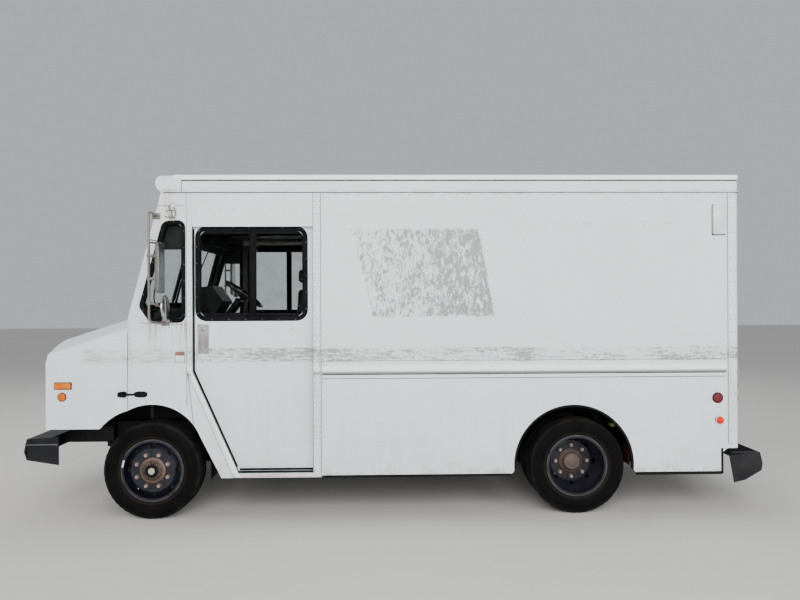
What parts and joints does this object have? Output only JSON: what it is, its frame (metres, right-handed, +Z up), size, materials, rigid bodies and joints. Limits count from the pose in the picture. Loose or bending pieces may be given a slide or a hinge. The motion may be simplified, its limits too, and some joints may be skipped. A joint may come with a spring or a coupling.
{
  "type": "step van",
  "caption": "Walk-in delivery van with alloy cargo body, sliding cab doors, swing rear doors, tilting hood, steered front wheels and twin rear wheels.",
  "frame": {"origin": "on the ground, half way between the faces of the two bumpers and on the van's centre line", "axes": "+X forward, +Y to the van's left side, +Z up"},
  "size_m": [6.25, 2.8398, 2.8958],
  "materials": {
    "body_paint": "worn white enamel, chalky, with road dirt",
    "roof_alloy": "painted alloy roof sheet",
    "inner_lining": "dark green-grey cab lining",
    "floor_alloy": "worn alloy floor plate",
    "chassis_black": "black chassis paint with road grime",
    "cast_metal": "rough cast iron with light rust",
    "bumper_paint": "blue-black bumper enamel",
    "wheel_paint": "dark blue-black wheel enamel",
    "tyre_rubber": "weathered tyre rubber",
    "glass": "clear flat glass",
    "dash_plastic": "dark moulded plastic",
    "seat_vinyl": "black vinyl",
    "lamp_red": "red lens",
    "lamp_clear": "clear lens",
    "grille_black": "black grille",
    "mirror_steel": "weathered stainless"
  },
  "bodies": {
    "van": {"chassis_frame": "chassis_black", "leaf_springs": "chassis_black", "front_axle": "cast_metal", "rear_axle": "cast_metal", "engine_block": "cast_metal", "radiator": "chassis_black", "driveshaft": "chassis_black", "fuel_tank": "chassis_black", "exhaust": "cast_metal", "cargo_floor": "floor_alloy", "cab_floor": "floor_alloy", "engine_cover": "inner_lining", "cargo_side_left": "body_paint", "cargo_side_right": "body_paint", "cab_side_left": "body_paint", "cab_side_right": "body_paint", "cab_front": "body_paint", "roof": "roof_alloy", "roof_cap": "body_paint", "rear_frame": "body_paint", "cab_glass": "glass", "bulkhead": "inner_lining", "dashboard": "dash_plastic", "front_bumper": "bumper_paint", "rear_bumper": "bumper_paint", "tail_lamps": "lamp_red", "side_mirrors": "mirror_steel", "seat_frame": "chassis_black", "seat_cushion": "seat_vinyl", "seat_back": "seat_vinyl"},
    "sliding_door_left": {"left_door": "body_paint", "left_door_glass": "glass"},
    "sliding_door_right": {"right_door": "body_paint", "right_door_glass": "glass"},
    "rear_door_left": {"rear_door_left": "body_paint", "rear_door_glass_left": "glass"},
    "rear_door_right": {"rear_door_right": "body_paint", "rear_door_glass_right": "glass"},
    "hood": {"hood": "body_paint", "grille": "grille_black", "headlamps": "lamp_clear"},
    "steering_wheel": {"steering_wheel": "dash_plastic"},
    "knuckle_left": {"knuckle_left": "cast_metal"},
    "knuckle_right": {"knuckle_right": "cast_metal"},
    "front_wheel_left": {"front_rim_left": "wheel_paint", "front_tyre_left": "tyre_rubber"},
    "front_wheel_right": {"front_rim_right": "wheel_paint", "front_tyre_right": "tyre_rubber"},
    "rear_wheels_left": {"rear_rims_left": "wheel_paint", "rear_tyres_left": "tyre_rubber"},
    "rear_wheels_right": {"rear_rims_right": "wheel_paint", "rear_tyres_right": "tyre_rubber"}
  },
  "joints": [
    {"name": "left_door_slide", "type": "slide", "parent": "van", "child": "sliding_door_left", "axis": [-1, 0, 0], "range_m": [0, 0.85]},
    {"name": "right_door_slide", "type": "slide", "parent": "van", "child": "sliding_door_right", "axis": [-1, 0, 0], "range_m": [0, 0.85]},
    {"name": "rear_door_left_swing", "type": "hinge", "parent": "van", "child": "rear_door_left", "pos_m": [-2.88, 1.085, 1.6], "axis": [0, 0, -1], "range_deg": [0, 180]},
    {"name": "rear_door_right_swing", "type": "hinge", "parent": "van", "child": "rear_door_right", "pos_m": [-2.88, -1.085, 1.6], "axis": [0, 0, 1], "range_deg": [0, 180]},
    {"name": "hood_tilt", "type": "hinge", "parent": "van", "child": "hood", "pos_m": [2.87, 0, 0.755], "axis": [0, 1, 0], "range_deg": [0, 55]},
    {"name": "kingpin_left", "type": "hinge", "parent": "van", "child": "knuckle_left", "pos_m": [2.063, 0.86, 0.4055], "axis": [0, 0, 1], "range_deg": [-35, 35]},
    {"name": "kingpin_right", "type": "hinge", "parent": "van", "child": "knuckle_right", "pos_m": [2.063, -0.86, 0.4055], "axis": [0, 0, 1], "range_deg": [-35, 35]},
    {"name": "steering_wheel_turn", "type": "hinge", "parent": "van", "child": "steering_wheel", "pos_m": [1.634, -0.55, 1.891], "axis": [-0.5878, 0, 0.809], "range_deg": [-710, 710]},
    {"name": "front_left_spin", "type": "hinge", "parent": "knuckle_left", "child": "front_wheel_left", "pos_m": [2.063, 1.028, 0.4055], "axis": [0, 1, 0], "continuous": true},
    {"name": "front_right_spin", "type": "hinge", "parent": "knuckle_right", "child": "front_wheel_right", "pos_m": [2.063, -1.028, 0.4055], "axis": [0, 1, 0], "continuous": true},
    {"name": "rear_left_spin", "type": "hinge", "parent": "van", "child": "rear_wheels_left", "pos_m": [-1.507, 0.871, 0.4055], "axis": [0, 1, 0], "continuous": true},
    {"name": "rear_right_spin", "type": "hinge", "parent": "van", "child": "rear_wheels_right", "pos_m": [-1.507, -0.871, 0.4055], "axis": [0, 1, 0], "continuous": true}
  ],
  "couplings": [
    {"joint": "kingpin_right", "follows": "kingpin_left", "ratio": 1},
    {"joint": "steering_wheel_turn", "follows": "kingpin_left", "ratio": 20}
  ]
}
